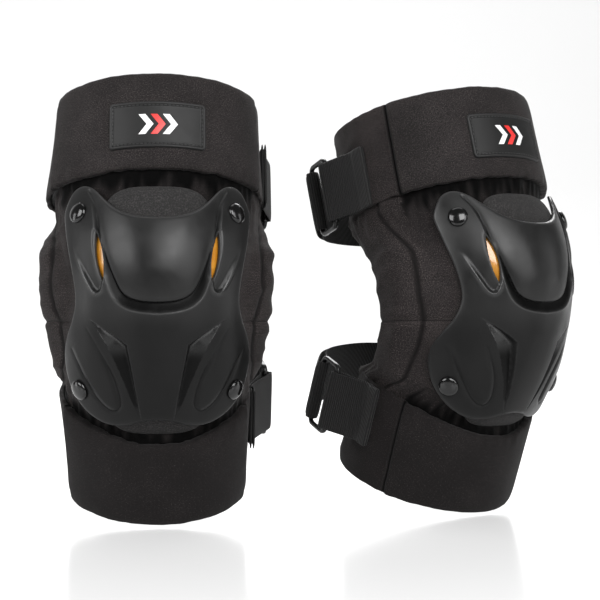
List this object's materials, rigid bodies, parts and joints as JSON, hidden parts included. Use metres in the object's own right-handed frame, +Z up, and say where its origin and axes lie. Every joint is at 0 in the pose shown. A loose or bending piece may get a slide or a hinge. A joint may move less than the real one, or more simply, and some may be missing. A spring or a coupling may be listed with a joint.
{
  "type": "knee guards",
  "caption": "Pair of motorcycle knee guards: padded thigh and shin cuffs, a cloth sleeve, a riveted hard shell with slots, and elastic straps through rings.",
  "frame": {"origin": "centre of the left knee, where both of its cuffs turn", "axes": "-Y is the front of the left guard, +X its outer side towards the right guard, +Z up"},
  "size_m": [0.4271, 0.2899, 0.3464],
  "materials": {
    "shell_plastic": "satin",
    "cuff_fabric": "coarse woven nylon",
    "sleeve_fabric": "coarse woven nylon",
    "knee_pad": "rough grained",
    "foam": "closed-cell foam",
    "lining": "knit",
    "webbing": "ribbed elastic",
    "ring_plastic": "semi-gloss",
    "badge_rubber": "satin moulded",
    "amber_insert": "gloss",
    "rivet_gloss": "polished",
    "washer": "satin"
  },
  "bodies": {
    "left_knee": {"left_shell": "shell_plastic", "left_outer_amber_insert": "amber_insert", "left_inner_amber_insert": "amber_insert", "left_knee_pad": "knee_pad", "left_upper_knee_sleeve": "sleeve_fabric", "left_lower_knee_sleeve": "sleeve_fabric", "left_upper_outer_rivet": "rivet_gloss", "left_upper_outer_washer": "washer", "left_upper_inner_rivet": "rivet_gloss", "left_upper_inner_washer": "washer", "left_lower_outer_rivet": "rivet_gloss", "left_lower_outer_washer": "washer", "left_lower_inner_rivet": "rivet_gloss", "left_lower_inner_washer": "washer"},
    "left_thigh_cuff": {"left_thigh_cover": "cuff_fabric", "left_thigh_foam": "foam", "left_thigh_lining": "lining", "left_badge": "badge_rubber", "left_thigh_web": "webbing", "left_thigh_strap": "webbing"},
    "left_shin_cuff": {"left_shin_cover": "cuff_fabric", "left_shin_foam": "foam", "left_shin_lining": "lining", "left_shin_web": "webbing", "left_shin_strap": "webbing"},
    "left_thigh_ring": {"left_thigh_ring": "ring_plastic"},
    "left_thigh_tab": {"left_thigh_strap_tab": "webbing"},
    "left_shin_ring": {"left_shin_ring": "ring_plastic"},
    "left_shin_tab": {"left_shin_strap_tab": "webbing"},
    "right_knee": {"right_shell": "shell_plastic", "right_outer_amber_insert": "amber_insert", "right_inner_amber_insert": "amber_insert", "right_knee_pad": "knee_pad", "right_upper_knee_sleeve": "sleeve_fabric", "right_lower_knee_sleeve": "sleeve_fabric", "right_upper_outer_rivet": "rivet_gloss", "right_upper_outer_washer": "washer", "right_upper_inner_rivet": "rivet_gloss", "right_upper_inner_washer": "washer", "right_lower_outer_rivet": "rivet_gloss", "right_lower_outer_washer": "washer", "right_lower_inner_rivet": "rivet_gloss", "right_lower_inner_washer": "washer"},
    "right_thigh_cuff": {"right_thigh_cover": "cuff_fabric", "right_thigh_foam": "foam", "right_thigh_lining": "lining", "right_badge": "badge_rubber", "right_thigh_web": "webbing", "right_thigh_strap": "webbing"},
    "right_shin_cuff": {"right_shin_cover": "cuff_fabric", "right_shin_foam": "foam", "right_shin_lining": "lining", "right_shin_web": "webbing", "right_shin_strap": "webbing"},
    "right_thigh_ring": {"right_thigh_ring": "ring_plastic"},
    "right_thigh_tab": {"right_thigh_strap_tab": "webbing"},
    "right_shin_ring": {"right_shin_ring": "ring_plastic"},
    "right_shin_tab": {"right_shin_strap_tab": "webbing"}
  },
  "joints": [
    {"name": "left_thigh_flex", "type": "hinge", "parent": "left_knee", "child": "left_thigh_cuff", "pos_m": [0, 0, 0], "axis": [-1, 0, 0], "range_deg": [-9, 14], "stiffness_Nm_per_rad": 4, "deforming": ["left_upper_knee_sleeve"]},
    {"name": "left_shin_flex", "type": "hinge", "parent": "left_knee", "child": "left_shin_cuff", "pos_m": [0, 0, 0], "axis": [1, 0, 0], "range_deg": [-10, 17], "stiffness_Nm_per_rad": 4, "deforming": ["left_lower_knee_sleeve"]},
    {"name": "left_thigh_ring_turn", "type": "hinge", "parent": "left_thigh_cuff", "child": "left_thigh_ring", "pos_m": [0.0875, 0.06822, 0.09279], "axis": [0, 0.2756, 0.9613], "range_deg": [-4, 4]},
    {"name": "left_thigh_tab_peel", "type": "hinge", "parent": "left_thigh_cuff", "child": "left_thigh_tab", "pos_m": [0.08609, 0.09495, 0.08512], "axis": [0, -0.2756, -0.9613], "range_deg": [0, 75]},
    {"name": "left_shin_ring_turn", "type": "hinge", "parent": "left_shin_cuff", "child": "left_shin_ring", "pos_m": [0.0875, 0.067, -0.07884], "axis": [0, -0.342, 0.9397], "range_deg": [-4, 4]},
    {"name": "left_shin_tab_peel", "type": "hinge", "parent": "left_shin_cuff", "child": "left_shin_tab", "pos_m": [0.08718, 0.09316, -0.06932], "axis": [0, 0.342, -0.9397], "range_deg": [0, 75]},
    {"name": "right_thigh_flex", "type": "hinge", "parent": "right_knee", "child": "right_thigh_cuff", "pos_m": [0.253, 0.068, 0], "axis": [-0.8192, -0.5736, 0], "range_deg": [-9, 14], "stiffness_Nm_per_rad": 4, "deforming": ["right_upper_knee_sleeve"]},
    {"name": "right_shin_flex", "type": "hinge", "parent": "right_knee", "child": "right_shin_cuff", "pos_m": [0.253, 0.068, 0], "axis": [0.8192, 0.5736, 0], "range_deg": [-10, 17], "stiffness_Nm_per_rad": 4, "deforming": ["right_lower_knee_sleeve"]},
    {"name": "right_thigh_ring_turn", "type": "hinge", "parent": "right_thigh_cuff", "child": "right_thigh_ring", "pos_m": [0.14219, 0.07369, 0.09279], "axis": [0.1581, -0.2258, -0.9613], "range_deg": [-4, 4]},
    {"name": "right_thigh_tab_peel", "type": "hinge", "parent": "right_thigh_cuff", "child": "right_thigh_tab", "pos_m": [0.12801, 0.0964, 0.08512], "axis": [-0.1581, 0.2258, 0.9613], "range_deg": [0, 75]},
    {"name": "right_shin_ring_turn", "type": "hinge", "parent": "right_shin_cuff", "child": "right_shin_ring", "pos_m": [0.14289, 0.0727, -0.07884], "axis": [-0.1962, 0.2802, -0.9397], "range_deg": [-4, 4]},
    {"name": "right_shin_tab_peel", "type": "hinge", "parent": "right_shin_cuff", "child": "right_shin_tab", "pos_m": [0.12815, 0.09431, -0.06932], "axis": [0.1962, -0.2802, 0.9397], "range_deg": [0, 75]},
    {"name": "pair_spacing", "type": "slide", "parent": "left_knee", "child": "right_knee", "axis": [1, 0, 0], "range_m": [0, 0.25]}
  ]
}
